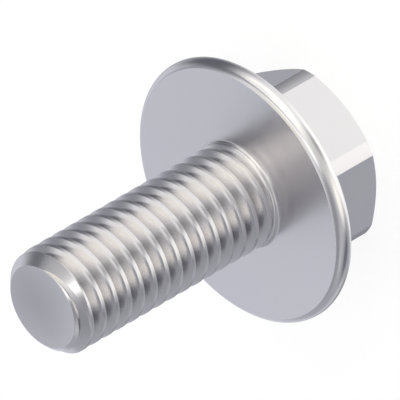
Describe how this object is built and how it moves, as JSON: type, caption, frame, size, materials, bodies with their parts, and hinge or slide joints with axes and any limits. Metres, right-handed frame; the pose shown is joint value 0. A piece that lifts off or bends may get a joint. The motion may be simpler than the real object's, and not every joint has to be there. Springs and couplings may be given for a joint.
{
  "type": "flange bolt",
  "caption": "Hexagon head bolt with a wide round-rimmed flange, a right-hand thread up to the head and a chamfered tip.",
  "frame": {"origin": "on the bolt's axis, in the plane of the flange's bearing face", "axes": "+Z along the shank from the bearing face to the tip, so the head lies below and the bolt stands on it; two corners of the hexagon lie on the X axis"},
  "size_m": [0.0204, 0.0204, 0.0269],
  "materials": {
    "steel": "satin, bright zinc plated steel"
  },
  "bodies": {
    "root": {"flange_bolt": "steel"}
  },
  "joints": []
}
